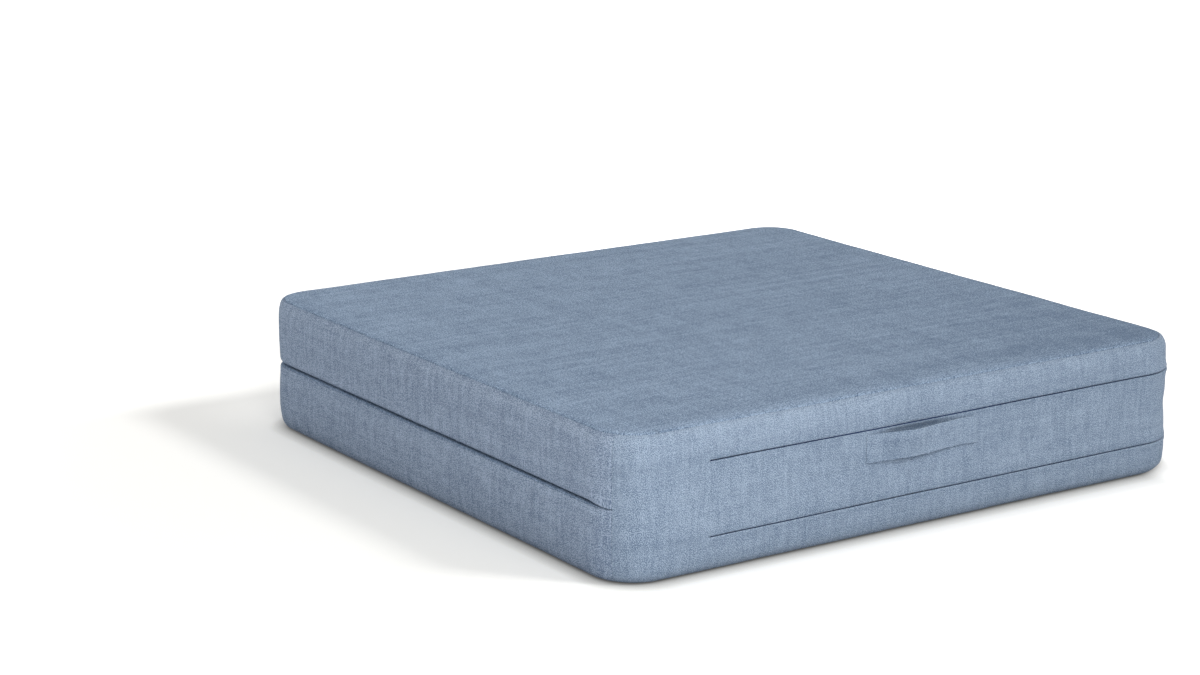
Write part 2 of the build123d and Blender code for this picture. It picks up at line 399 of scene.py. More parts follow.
def edge_swell(half, angle, way):
    """How far a half's outer edge stands off a plain quarter round: along the spine the top slopes to it early
    and the side leans in, round the other sides the seam pulls a soft valley, and two corners are fuller."""
    right = strained(way, front_right, right_reach)
    if half == "lower":
        return np.interp(angle, *lower_edge) + lower_edge_full * right * np.interp(angle, *lower_edge_share)
    sides = on_sides(way)
    along_spine = np.interp(angle, upper_angles, upper_spine_edge)
    round_sides = np.interp(angle, upper_angles, upper_side_edge)
    at_left = left_full * strained(way, back_left, left_reach) * np.interp(angle, *upper_left_share)
    at_right = right_full * right * np.interp(angle, *upper_right_share)
    return along_spine * (1 - sides) + round_sides * sides + at_left + at_right


def hidden_layer(name, half, inset, thick):
    """Closed envelope under the cover, drawn in by its inset and pressed in behind the zip."""
    way, count_x, count_y = columns_round(layer_step)
    quarter, rings = (0, 30, 60, 90), [0.030, 0.045, 0.057, plan_radius]
    across_zip = (-0.022, -zip_bed_half, -0.013, 0.0, 0.013, zip_bed_half, 0.022)
    rows = rows_on("face", rings[::-1]) + rows_on("edge", quarter)
    rows += rows_on("side", [zip_height + d for d in across_zip]) + rows_on("gap", quarter) + rows_on("fold", rings)

    def lift(k, way, depth_in, height, outward):
        bed = smooth(1 + (zip_bed_half - np.abs(height - zip_height)) / zip_bed_ease)
        bed = bed * in_zip(way, zip_bed_end, zip_bed_beyond)
        pressed = bed * (zip_bed_depth - inset) if rows[k][0] == "side" else 0.0
        leaned = edge_swell(half, rows[k][1], way) if rows[k][0] == "edge" else 0.0
        return leaned - inset - pressed, np.minimum(stand_out(half, way, height), 0), 0.0

    pieces = [cloth(name, places_on(half, way, rows, lift))]
    for k, level in enumerate(sorted([standing(half, inset), standing(half, fold_face - inset)])):
        grid = middle_grid(lambda x, y: level + 0 * x, count_x, count_y)
        pieces.append(cloth(f"{name}_lid_{k}", grid[:, ::-1] if k == 0 else grid, grid[..., :2]))
    layer = join(name, pieces)
    on_whole(bpy.ops.mesh.normals_make_consistent, inside=False)
    middle, bed_end = standing(half, zip_height), zip_bed_half + 0.001
    group = layer.vertex_groups.new(name="full")
    group.add([v.index for v in layer.data.vertices if abs(v.co.z - middle) > bed_end], 1.0, "REPLACE")
    thicken(layer, thick, "full")
    layer.vertex_groups.clear()
    return layer


# Polyester wadding is white, fluffy and matt, with longer fibres showing as faint streaks.
wadding = begin("polyester_wadding")
place = add(wadding, "TexCoord").outputs["Object"]
fluff = add(wadding, "TexNoise", {"Scale": 140.0, "Detail": 5.0, "Distortion": 1.5}, {"Vector": place}).outputs["Fac"]
surface(
    wadding, "#D9DBDA", "#F4F4F1", fluff, {"Roughness": 1.0, "Sheen Weight": 0.4, "IOR": 1.5},
    relief=(0.8, 0.002, fluff),
)

for half in HALVES:
    wrap = hidden_layer(half + "_wadding_wrap", half, wadding_inset, wadding_thick)
    wrap.data.materials.append(wadding)
    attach(wrap, half + "_half")
    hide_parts(half + "_wadding")


# Liner: a thin sewn bag of polyester tricot round the wadding, so that the cover can come off.
# It is white and closely knitted, and lies right under the cover.
liner_inset, liner_thick, knit_pitch = 0.0018, 0.0005, 0.0012

# Tricot knit shows as fine ribs that run along the cloth.
tricot = begin("polyester_tricot")
place = add(tricot, "TexCoord").outputs["Object"]
knit = {"Scale": 1 / knit_pitch / 3.2, "Distortion": 0.6, "bands_direction": "DIAGONAL"}
ribs = add(tricot, "TexWave", knit, {"Vector": place}).outputs["Fac"]
surface(
    tricot, "#DFE1E2", "#F2F2F0", ribs, {"Roughness": 0.8, "Sheen Weight": 0.2, "IOR": 1.5},
    relief=(0.4, 0.0002, ribs),
)

for half in HALVES:
    bag = hidden_layer(half + "_liner_bag", half, liner_inset, liner_thick)
    bag.data.materials.append(tricot)
    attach(bag, half + "_half")
    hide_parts(half + "_liner")


# Panels: two inner ones that meet in the fold, the bed's top once it is opened, and two outer ones, the folded
# futon's top and underside. Brushed upholstery cloth of cotton and polyester, its edge turned in along the
# seam; an outer one's seam lies on the rounded edge, in a shallow valley of its own.
cloth_thick, panel_step = 0.0010, 0.009
ripple_high, ripple_fine = 0.0005, 0.00022
pucker_high, pucker_dip, pucker_reach = 0.00025, 0.0001, 0.005
gap_seam_angle = 45.0        # where the inner panels' seams lie on the rounded edge along the gap
spine_hold = 0.0014          # how far the spine's cloth holds the inner panels' edges back
crown = 0.0015               # how far the filling lifts the top's middle
crown_rise = [outer_edge, 0.0235, 0.029, 0.043], [0.0003, 0.0007, 0.0010, crown]
thread_spacing = 0.0018      # a real one is under 1 mm, drawn this coarse to show


def ripples(places, scale, shift):
    """Smooth noise from -1 to 1 at places."""
    flat = places.reshape(-1, places.shape[-1])
    made = [noise.noise(Vector(p) * scale + Vector((shift, shift, shift))) for p in flat]
    return np.array(made).reshape(places.shape[:-1])


def ripples_along(way, scale, shift):
    """The same along a line."""
    return ripples(np.stack([way, 0 * way, 0 * way], -1), scale, shift)


def softness(places):
    """Slow hollows and swells of the filling under the cloth."""
    return ripple_high * ripples(places, 7.0, 3.1) + ripple_fine * ripples(places, 24.0, 8.7)


def puckers(way, from_seam):
    """Small gathers along a seam, which fade away from it."""
    gathers = ripples_along(way, 52.0, 5.5) * pucker_high - pucker_dip
    return gathers * np.exp(-from_seam / pucker_reach)


def face_panel(name, half, outer, rows, offset):
    """Rounded panel over one face: rings round its edge, and a grid in the middle."""
    way, count_x, count_y = columns_round(panel_step)
    crowned = outer and half == "upper"

    def soft_at(places):
        """The floor and the other half keep a face from swelling outward."""
        slow = softness(places)
        return slow if crowned else -np.abs(slow)

    def lift(k, way, depth_in, height, outward):
        kind, value, _ = rows[k]
        radius = outer_edge if outer else gap_round(half, way)
        bend = (seam_angle - value) if kind == "edge" else (value - gap_seam_angle) if kind == "gap" else 60
        seam = puckers(way, radius * np.radians(bend) + (depth_in if kind in ("face", "fold") else 0))
        behind = 0
        if not outer:
            seam, behind = np.minimum(seam, 0) * opening(way), -spine_hold * (1 - opening(way))
        if kind == "edge":
            seam = seam + edge_swell(half, value, way)
        if kind == "face" and crowned:
            seam = seam + np.interp(value, *crown_rise)
        return soft_at(on_plan(way, depth_in)) + seam, stand_out(half, way, height) * (not outer) + behind, 0.0

    def height_at(x, y):
        level = (0.0 if outer else fold_face) + soft_at(np.stack([x, y, 0 * x], -1)) * (-1 if outer else 1)
        return standing(half, level - crown * crowned)

    places = places_on(half, way, rows, lift, None if outer else gap_round(half, way))
    grid = middle_grid(height_at, count_x, count_y)
    if outer == (half == "lower"):
        grid = grid[:, ::-1]
    ring = cloth(name, places, places[..., :2] + offset)
    panel = join(name, [ring, cloth(name + "_middle", grid, grid[..., :2] + offset)])
    thicken(panel, cloth_thick)
    bpy.ops.object.shade_smooth()
    return panel


def total(material, outputs):
    """Sum of some outputs, taken in their order."""
    made = outputs[0]
    for output in outputs[1:]:
        made = add(material, "Math", {"operation": "ADD"}, {0: made, 1: output}).outputs[0]
    return made


def heather(name, dark, light, weights, spots):
    """Brushed cloth of pale and darker blue yarn, its pattern laid on the UV map in metres.
    The weights are for fibres, tufts, nap, shade, slubs along and across, and bands along and across.
    Spots, each a middle, a reach and a strength, make the tone paler or darker round a place, most of them as painted
    light and painted shade."""
    material = begin(name)
    laid = add(material, "UVMap", {"uv_map": "UVMap"}).outputs[0]
    in_mm = add(material, "Mapping", {"Scale": (1000.0, 1000.0, 1000.0)}, {"Vector": laid}).outputs[0]

    def pattern(scale, along=1.0, across=1.0, detail=2.0, shift=0.0, twist=0.0):
        """Noise of so many lumps to a millimetre, and a share of that along or across the cloth."""
        spread = {"Scale": (along, across, 1.0), "Location": (shift, shift, 0.0)}
        vector = add(material, "Mapping", spread, {"Vector": in_mm}).outputs[0]
        lumps = {"Scale": scale, "Detail": detail, "Distortion": twist}
        return add(material, "TexNoise", lumps, {"Vector": vector}).outputs["Fac"]

    def share(source, weight):
        """A pattern's part in the tone, counted from its middle."""
        span = {"clamp": False, "From Min": 0.0, "From Max": 1.0, "To Min": -weight, "To Max": weight}
        return add(material, "MapRange", span, {"Value": source}).outputs[0]

    def spot(middle, reach, most):
        """A patch of paler or darker tone, mostly painted light or shade: most in the tone at its middle, none beyond
        its reach.
        """
        moved = add(material, "VectorMath", {"operation": "SUBTRACT", 1: (*middle, 0.0)}, {0: laid})
        scaled = add(material, "VectorMath", {"operation": "DIVIDE", 1: (*reach, 1.0)}, {0: moved.outputs[0]})
        gone = add(material, "VectorMath", {"operation": "LENGTH"}, {0: scaled.outputs[0]})
        return add(
            material, "MapRange",
            {"interpolation_type": "SMOOTHSTEP", "From Min": 0.0, "From Max": 1.0, "To Min": most, "To Max": 0.0},
            {"Value": gone.outputs["Value"]},
        ).outputs[0]

    patterns = [
        pattern(0.80, shift=15.0),                            # single fibres, about 1.2 mm
        pattern(0.36),                                        # tufts of them, about 3 mm
        pattern(0.085, detail=3.0, shift=40.0, twist=0.6),    # nap, about 12 mm
        pattern(0.018, shift=90.0),                           # shade, about 55 mm
        pattern(0.20, across=0.11, shift=20.0),               # slubs, 5 by 45 mm
        pattern(0.20, along=0.11, shift=60.0),
        pattern(0.07, across=0.02, shift=33.0),               # bands of yarn, 14 mm and very long
        pattern(0.07, along=0.02, shift=77.0),
    ]
    parts = [share(source, weight) for source, weight in zip(patterns, weights)]
    parts += [spot(middle, reach, most) for middle, reach, most in spots]
    threads = {"Scale": 0.314 / (thread_spacing * 1000), "Distortion": 1.2, "Detail Scale": 0.5}
    warp = add(material, "TexWave", {**threads, "bands_direction": "DIAGONAL"}, {"Vector": in_mm})
    woven = share(warp.outputs["Fac"], 0.05)
    tone = total(material, [*parts, woven])
    centred = add(material, "Math", {"operation": "ADD", 1: 0.5, "use_clamp": True}, {0: tone}).outputs[0]
    nap = {"Roughness": 0.92, "IOR": 1.45, "Specular IOR Level": 0.25}
    bloom = {"Sheen Weight": 0.16, "Sheen Roughness": 0.5, "Sheen Tint": linear("#C9D4DF")}
    surface(
        material, dark, light, centred, {**nap, **bloom}, relief=(0.55, 0.0007, total(material, [tone, woven])),
    )
    return material


# Brushed cloth scatters light from its nap, so it is matt, with a faint pale bloom at low angles.
# The top is laid at minus 3 m. Its spots paint shade round its front right corner, inside the spine's edge and along
# its left and right seams, paint a highlight on the spine's edge, and make it a little paler toward the back.
# The faces, the spine and the sides are one cloth in three copies, their tones set a little apart as painted light
# and shade for how each face catches the light.
face_cloth = heather(
    "brushed_heather_cloth_faces", "#586E89", "#A5B9D1", (4.20, 2.20, 0.50, 0.38, 0.38, 0.52, 0.25, 0.50),
    [
        ((-2.50, -3.48), (0.60, 0.60), -0.38), ((-2.85, -3.428), (1.20, 0.038), -0.24),
        ((-3.0, -3.4825), (5.0, 0.033), 0.44), ((-2.70, -3.448), (0.34, 0.018), -0.10),
        ((-3.0, -2.55), (1.3, 0.50), 0.07), ((-3.4835, -3.0), (0.018, 5.0), -0.17),
        ((-2.5165, -3.0), (0.018, 5.0), -0.17),
    ],
)
# The spine's spots paint shade along both zips, most at the upper zip's right end, a shadow in the hollow behind the
# strap's top edge and shade on the strap's left slope, and paint light on the spine's left end, most near its top
# edge.
border_cloth = heather(
    "brushed_heather_cloth_spine", "#5D7087", "#AABACD", (2.10, 0.48, 0.21, 0.13, 0.29, 0.11, 0.10, 0.15),
    [
        ((-0.30, 0.352), (0.42, 0.050), 0.14), ((0.28, 0.303), (0.40, 0.045), -0.09),
        ((-0.26, 0.225), (0.35, 0.060), 0.05), ((0.0, 0.190), (1.2, 0.022), -0.14),
        ((0.0, 0.302), (1.2, 0.018), -0.09), ((2.152, 2.018), (0.036, 0.050), -0.15),
        ((0.0, 0.289), (0.088, 0.0092), -0.46),
    ],
)
# The sides' spots paint shade along their bottom and along the top's seam, and paint light just below that seam.
side_cloth = heather(
    "brushed_heather_cloth_sides", "#62748D", "#AFBED2", (3.45, 1.20, 0.48, 0.24, 0.62, 0.26, 0.22, 0.34),
    [
        ((2.85, 0.010), (3.0, 0.066), -0.17), ((2.85, 0.392), (3.0, 0.020), 0.04),
        ((3.12, 0.388), (0.46, 0.034), 0.09), ((2.85, 0.4165), (3.0, 0.016), -0.20),
    ],
)

panel_rows = {
    "inner": rows_on(
        "gap", (gap_seam_angle, 45.5, 47, 51, 60, 75, 90), (0.0040, 0.0016, 0.0005, 0.0001, 0, 0, 0)
    ) + rows_on("fold", (0.019, 0.025, 0.032, 0.040, 0.050, 0.060, plan_radius)),
    "outer": rows_on("face", (plan_radius, 0.060, 0.051, 0.043, 0.035, 0.029, 0.0235)) + rows_on(
        "edge", (0, 8, 15, 20, 23.5, 25.6, 26.6, seam_angle), (0, 0, 0, 0.00005, 0.00018, 0.00035, 0.0010, 0.0040)
    ),
}
pattern_from = {"inner": (0.0, 1.7), "outer": (3.3, -3.0)}     # so that no two panels show the same cloth

for kind in ("inner", "outer"):
    for half, offset in zip(HALVES, pattern_from[kind]):
        panel = face_panel(f"{half}_{kind}_panel_cloth", half, kind == "outer", panel_rows[kind], offset)
        panel.data.materials.append(face_cloth)
        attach(panel, half + "_half")
        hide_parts(f"{half}_{kind}_panel")


# Side borders: a strip round the left, back and right of each half, between its two panels.
# The zip opens along the right-hand one; its cloth rolls in to the zip as a soft lip on each side.
border_step = 0.006
zip_ease, slit_beyond = 0.007, 0.0045
# a lip's rows, from the zip's middle: offset where the zip is shut away, then offset and depth where it shows,
# for a lip that rolls in crisply and for a soft one
lip_closed = [0, 0.0008, 0.0016, 0.0024, 0.0033, 0.0045, 0.0060, 0.0080, 0.0110]
crisp_offset = [0.0022, 0.0010, 0.0007, 0.0008, 0.0014, 0.0026, 0.0044, 0.0070, 0.0105]
crisp_depth = [0.0030, 0.0026, 0.0016, 0.0006, 0.0001, 0, 0, 0, 0]
soft_offset = [0.0024, 0.0012, 0.0009, 0.0012, 0.0021, 0.0035, 0.0053, 0.0076, 0.0109]
soft_depth = [0.0030, 0.0026, 0.0019, 0.0012, 0.0007, 0.0004, 0.0002, 0.00005, 0]
lip_rows = len(lip_closed)
lip_swell, spine_lip_share = 0.0020, 0.18
lip_share = [0, 0.1, 0.35, 0.75, 1, 1, 0.7, 0.35, 0.1]
nip_share = [0, 0.6, 1, 1, 0.8, 0.4, 0.1, 0, 0]
slit_nip = {"lower": 0.00028, "upper": 0.00018}      # how much closer the lips lie where no slider runs
zip_wander, zip_lift = 0.0005, 0.0004
strap_dip, strap_dip_at, strap_dip_reach = 0.0014, -0.02, 0.14


def zip_wave(half, way):
    """The zip's seam wanders a little along the spine, and dips by the strap."""
    wander = zip_wander * ripples_along(way, 9.0, 2.2 if half == "upper" else 6.4)
    if half == "upper":
        wander = wander + strap_dip * np.exp(-((way - strap_dip_at) / strap_dip_reach) ** 2) + zip_lift
    return wander * smooth((seam_way - 0.02 - way) / 0.08)


def off_run(way):
    """1 where no slider runs, 0 along the slider's run."""
    return 1 - smooth((way - run_x - 0.75 * turn) / (0.25 * turn))


def lip_raise(way):
    """How far the lips stand out: a little on the spine, most round the corner, where the cloth is strained,
    and not at all along the slider's run."""
    on_corner = smooth((way - run_x + 0.05) / 0.09)
    return lip_swell * (spine_lip_share + (1 - spine_lip_share) * on_corner) * off_run(way)


def border_rows(high_heights, last_rows):
    """Rows of a border from its outer seam up: tucked edge, rounded edge, side, zip, side, and the last ones."""
    rows = rows_on("edge", (seam_angle, 27.4, 28.4, 30.5, 34), (0.0040, 0.0010, 0.00035, 0.00018, 0.00005))
    rows += rows_on("edge", (40, 47, 54, 62, 70, 80, 90)) + rows_on("side", (0.024, 0.030, 0.0355))
    zip_from = len(rows)
    rows += [("side", zip_height, 0.0)] * (2 * lip_rows)
    return rows + rows_on("side", high_heights) + last_rows, zip_from


def border_lift(half, rows, zip_from, seam_tuck):
    """What shapes a border: swell, softness, puckers at seams, and the zip's lips."""
    def lift(k, way, depth_in, height, outward):
        kind, value, _ = rows[k]
        raised, climbed = 0 * way, 0 * way
        number = k - zip_from
        if 0 <= number < 2 * lip_rows:
            side = 1 if number >= lip_rows else -1
            lip_row = number - lip_rows if side > 0 else lip_rows - 1 - number
            soft = (side > 0) == (half == "lower")
            closed, depth = lip_closed[lip_row], (soft_depth if soft else crisp_depth)[lip_row]
            opened, nip = in_zip(way, zip_ease, slit_beyond), slit_nip[half] * nip_share[lip_row] * off_run(way)
            offset = (soft_offset if soft else crisp_offset)[lip_row] - nip
            climbed = side * (closed + (offset - closed) * opened) + zip_wave(half, way) * (1 - lip_row / lip_rows)
            raised = opened * (lip_raise(way) * lip_share[lip_row] - depth)
            height = height + climbed
        places = on_plan(way, depth_in)
        places[:, 2] = standing(half, height)
        if kind == "edge":
            raised = raised + puckers(way, outer_edge * radians(value - seam_angle)) + edge_swell(half, value, way)
        if kind == "gap":
            raised = raised + np.minimum(puckers(way, gap_edge[half] * radians(gap_seam_angle - value)), 0)
        return raised + softness(places) - seam_tuck, stand_out(half, way, height), climbed

    return lift


def lengths_up(places):
    """Length along the cloth from row to row, at its middle column."""
    middle = places[:, places.shape[1] // 2]
    return np.concatenate([[0], np.cumsum(np.linalg.norm(np.diff(middle, axis=0), axis=1))])


def laid_flat(along, up):
    """UV map in metres, from the lengths along the columns and up the rows."""
    return np.stack(np.meshgrid(along, up), -1)


def slit_faces(count, way, zip_from, halves):
    """Faces of the strip between a zip's two lips, which isn't cloth; the count is of all the rows."""
    missing = np.zeros((count, len(way)), bool)
    middle_way = (way[:-1] + way[1:]) / 2
    for half in halves:
        row = zip_from + lip_rows - 1 if half == "lower" else count - zip_from - lip_rows - 1
        missing[row, :-1] = (middle_way > zip_first - slit_beyond) & (middle_way < zip_last + slit_beyond)
    return missing


seam_edge = np.array([0.0, 0.00004, 0.00015, 0.0004, 0.0024])
seam_tucks = np.array([0.0036, 0.0010, 0.00025, 0.00004, 0.0])


def seam_columns(first, last, step):
    """Columns between two upright seams, closer at both, with how far each is tucked in."""
    count = round((last - first - 0.010) / step)
    inner = np.linspace(first + 0.005, last - 0.005, count + 1)
    way = np.concatenate([first + seam_edge, inner, (last - seam_edge)[::-1]])
    tucked = np.interp(np.minimum(way - first, last - way), seam_edge, seam_tucks)
    return way, tucked


gap_rows = rows_on("gap", (0, 14, 28)) + rows_on(
    "gap", (39, 43, 44.5, gap_seam_angle), (0.0001, 0.0005, 0.0016, 0.0040)
)
side_way, side_tuck = seam_columns(seam_way, whole - seam_way, border_step)
rows, zip_from = border_rows((0.0625, 0.069, 0.076, 0.082, 0.0875), gap_rows)

for half in HALVES:
    places = places_on(half, side_way, rows, border_lift(half, rows, zip_from, side_tuck), gap_round(half, side_way))
    flat = laid_flat(side_way, lengths_up(places) + (half == "upper") * 0.31)
    missing = slit_faces(len(rows), side_way, zip_from, [half])
    border = cloth(half + "_side_border_cloth", places, flat, cloth_thick, missing)
    border.data.materials.append(side_cloth)
    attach(border, half + "_half")
    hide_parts(half + "_side_border")


# Spine cloth: one piece over the fold's face of both halves and round both its corners.
# It is the hinge of the futon, so it bends along the fold; both zips start in it.
spine_step = 0.004
fold_bend = 0.0003
spine_way, spine_tuck = seam_columns(-seam_way, seam_way, spine_step)
fold_rows = rows_on("side", (0.0945, 0.0975, 0.0990, half_thick - fold_bend))
rows, zip_from = border_rows((0.0625, 0.069, 0.076, 0.083, 0.0895), fold_rows)
places = np.concatenate([
    places_on(half, spine_way, rows, border_lift(half, rows, zip_from, spine_tuck)) for half in HALVES
])
missing = slit_faces(2 * len(rows), spine_way, zip_from, HALVES)
spine = cloth("spine_cloth", places, laid_flat(spine_way, lengths_up(places) + 0.13), cloth_thick, missing)
spine.data.materials.append(border_cloth)
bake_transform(spine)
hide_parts("lower_spine_border", "upper_spine_border", "spine_fold")


# Zip tapes: two woven polyester bands behind each slit, sewn to the cloth's turned hems.
# They are dark blue, ribbed along their length, and meet edge to edge under the lips.
tape_inset, tape_thick = 0.00365, 0.0005
tape_offsets = (0.0007, 0.0012, 0.0018, 0.0030, 0.0060, 0.0100, 0.0140)
tape_beyond, zip_step = 0.010, 0.006

# Woven tape is a close twill, so it shows fine slanting ribs and a slight lustre.
tape = begin("woven_polyester_tape")
laid = add(tape, "UVMap", {"uv_map": "UVMap"}).outputs[0]
twill = {"Scale": 280.0, "Distortion": 0.4, "bands_direction": "DIAGONAL"}
ribs = add(tape, "TexWave", twill, {"Vector": laid}).outputs["Fac"]
surface(tape, "#12285A", "#213D7C", ribs, {"Roughness": 0.7, "IOR": 1.5}, relief=(0.5, 0.0002, ribs))

zip_way = np.linspace(zip_first - tape_beyond, zip_last + tape_beyond, round((zip_last - zip_first) / zip_step) + 1)


def along_zip(way, inset, height):
    """Places behind the slit, by the way round, the inset from the cover's face and the height."""
    made = on_plan(way, inset)
    made[:, 2] = height
    return made


def zip_sides():
    """Each half's two sides of the zip, with the zip's height and 1 or -1 for a side above or below it."""
    for half in HALVES:
        for side, toward_fold in (("inner", 1), ("outer", -1)):
            yield half, side, standing(half, zip_height), toward_fold if half == "lower" else -toward_fold


for half, side, middle, upward in zip_sides():
    offsets = sorted(upward * offset for offset in tape_offsets)
    places = np.stack([along_zip(zip_way, tape_inset - tape_thick, middle + offset) for offset in offsets])
    band = cloth(f"{half}_zip_tape_{side}_woven", places, laid_flat(zip_way, offsets), tape_thick)
    band.data.materials.append(tape)
    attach(band, half + "_half")
    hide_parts(f"{half}_zip_tape_{side}")


# Zip coils: a nylon monofilament wound and heat-set on the edge of each tape.
# The two coils of a zip mesh; each is one closed tube here, wound at a coarser pitch than the real 1.3 mm.
coil_pitch, turn_steps = 0.0024, 6
coil_radius, wire_radius = 0.00068, 0.00024
coil_offset, coil_inset = 0.00165, 0.0046
stop_length = 0.003

# Drawn nylon is smooth and slightly glossy.
nylon = begin("drawn_nylon_coil")
place = add(nylon, "TexCoord").outputs["Object"]
fine = add(nylon, "TexNoise", {"Scale": 900.0}, {"Vector": place}).outputs["Fac"]
surface(nylon, "#232F49", "#33435F", fine, {"Roughness": 0.35, "IOR": 1.53})

coil_count = int((zip_last - zip_first - 2 * stop_length) / coil_pitch) * turn_steps
coil_way = zip_first + stop_length + np.arange(coil_count + 1) * coil_pitch / turn_steps
for half, side, middle, upward in zip_sides():
    wound = 2 * pi * (coil_way - coil_way[0]) / coil_pitch + (pi if side == "outer" else 0)
    loops = []
    for corner_angle in (0, pi / 2, pi, 3 * pi / 2, 2 * pi):
        reach = coil_radius + wire_radius * cos(corner_angle)
        way = coil_way + wire_radius * sin(corner_angle)
        height = middle + upward * coil_offset + reach * np.cos(wound)
        loops.append(along_zip(way, coil_inset + reach * np.sin(wound), height))
    coil = cloth(f"{half}_zip_coil_{side}", np.stack(loops))
    choose(coil, "edges", lambda edge: False)
    bpy.ops.mesh.select_mode(type="EDGE")
    bpy.ops.mesh.select_non_manifold()
    bpy.ops.mesh.edge_face_add()
    on_whole(bpy.ops.mesh.normals_make_consistent, inside=False)
    coil.data.materials.append(nylon)
    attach(coil, half + "_half")
    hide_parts(f"{half}_zip_row_{side}")


# Zip stops, sliders and pulls: die-cast zinc, tumbled and painted dark blue, a pull hinged on each slider.
# They keep their CAD shapes, with their edges softened as tumbling leaves them.
metal_wear = 0.00015

# Painted zinc is half gloss, its paint a little patchy in tone and gloss.
zinc = begin("painted_die_cast_zinc")
place = add(zinc, "TexCoord").outputs["Object"]
orange_peel = add(zinc, "TexNoise", {"Scale": 1500.0, "Detail": 2.0}, {"Vector": place}).outputs["Fac"]
patches = add(zinc, "TexNoise", {"Scale": 220.0, "Detail": 4.0}, {"Vector": place}).outputs["Fac"]
gloss = add(zinc, "MapRange", {"To Min": 0.28, "To Max": 0.5}, {"Value": patches}).outputs[0]
surface(
    zinc, "#2A3349", "#465069", patches, {"Metallic": 0.6, "Coat Weight": 0.3, "Coat Roughness": 0.2},
    relief=(0.15, 0.0001, orange_peel), links={"Roughness": gloss},
)

for half in HALVES:
    for node in ("zip_stops", "zip_slider", "zip_pull"):
        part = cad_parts[f"{half}_{node}"]
        part.data.materials.clear()
        part.data.materials.append(zinc)
        weld = part.modifiers.new("weld", "WELD")
        weld.merge_threshold = 0.00002
        worn = part.modifiers.new("worn", "BEVEL")
        worn.width, worn.segments, worn.limit_method = metal_wear, 2, "ANGLE"
        worn.angle_limit = radians(35.0)


# Handle strap: a band of the cover's cloth, folded and pressed to 39 mm, sewn down at both ends.
# It hangs slack between them, and its top edge stands further off the spine than its lower edge.
strap_left, strap_right = -0.094, 0.100
strap_low, strap_high, strap_skew = 0.1043, 0.1437, -0.0065
sewn_left, sewn_right = 0.017, 0.032
strap_thick, strap_gap, strap_soft_edge = 0.0022, 0.0002, 0.0008
crest, crease_half = -0.022, 0.007
top_bow, low_bow = 0.0122, 0.0060
low_wave_at = [-0.094, -0.013, 0.008, 0.027, 0.054, 0.072, 0.080, 0.100]
low_wave = [0, 0.0003, 0.0002, 0.0010, 0.0017, 0.0020, 0.0018, 0]
pressed_ends = 0.008
strap_flutter, top_fray, low_fray = 0.0005, 0.0002, 0.0004


def bow(x):
    """Share of the strap's bow: a straight slope from each sewn end up to a soft crease at its crest."""
    bends = [strap_left + sewn_left, crest, strap_right - sewn_right]
    shifts = np.linspace(-crease_half, crease_half, 9)
    return np.mean([np.interp(x + shift, bends, [0, 1, 0]) for shift in shifts], axis=0)


def pressed_thick(x):
    """The strap's thickness, which its stitching presses down toward both ends."""
    from_end = np.minimum(x - strap_left, strap_right - x)
    return strap_thick * np.interp(from_end, [0, 0.001, pressed_ends], [0.10, 0.30, 1.0])


strap_x = np.linspace(strap_left, strap_right, 180)
across = np.linspace(0.0, 1.0, 17)
bowed, low_line = bow(strap_x), np.interp(strap_x, low_wave_at, low_wave)
places = np.zeros((len(across), len(strap_x), 3))
for k, share_up in enumerate(across):
    reach = low_bow + (top_bow - low_bow) * smooth(share_up)
    line = np.stack([strap_x, 0 * strap_x + share_up * 0.04, 0 * strap_x], -1)
    flutter = strap_flutter * ripples(line, 42.0, 1.7)
    fray = low_fray * ripples(line, 160.0, 4.4) + low_fray * ripples(line, 340.0, 7.4)
    fray = fray * (1 - share_up) ** 2 + top_fray * ripples(line, 90.0, 6.1) * share_up
    loose = np.sqrt(np.clip(bowed + 0.3 * (1 - share_up), 0, 1))
    height = strap_low + (strap_high - strap_low) * share_up + strap_skew * strap_x
    places[k, :, 0] = strap_x
    places[k, :, 1] = -half_y - reach * bowed - flutter * bowed - strap_gap
    places[k, :, 2] = height + low_line * (1 - share_up) + fray * loose
strap = cloth("strap_cloth", places, laid_flat(strap_x + 2.2, across * (strap_high - strap_low) + 2.0))
thicken(strap, strap_thick, offset=1.0)
soft = strap.modifiers.new("soft_edges", "BEVEL")
soft.width, soft.segments, soft.limit_method, soft.angle_limit = strap_soft_edge, 3, "ANGLE", radians(50.0)
bpy.ops.object.modifier_apply(modifier=soft.name)
for point in strap.data.vertices:
    inner_y = -half_y - strap_gap - low_bow * float(bow(point.co.x))
    if point.co.x < strap_left + pressed_ends or point.co.x > strap_right - pressed_ends:
        point.co.y = inner_y + (point.co.y - inner_y) * float(pressed_thick(point.co.x)) / strap_thick
bpy.ops.object.shade_smooth()
strap.data.materials.append(border_cloth)
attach(strap, "upper_half")
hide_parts("handle_strap")


# Strap stitching: a box of lock stitches on each sewn end, in polyester thread of the cloth's colour.
# Every stitch sinks a little into the cloth at both its ends.
stitch_length, stitch_pitch, thread_radius = 0.0027, 0.0033, 0.00028
stitch_sunk = 0.00025
box_margin = 0.003

# Spun thread has a soft twisted surface.
thread = begin("spun_polyester_thread")
place = add(thread, "TexCoord").outputs["Object"]
plies = {"Scale": 900.0, "Distortion": 1.0, "bands_direction": "DIAGONAL"}
twist = add(thread, "TexWave", plies, {"Vector": place}).outputs["Fac"]
surface(
    thread, "#66798F", "#8FA2B7", twist, {"Roughness": 0.75, "IOR": 1.5, "Sheen Weight": 0.1},
    relief=(0.5, 0.0001, twist),
)


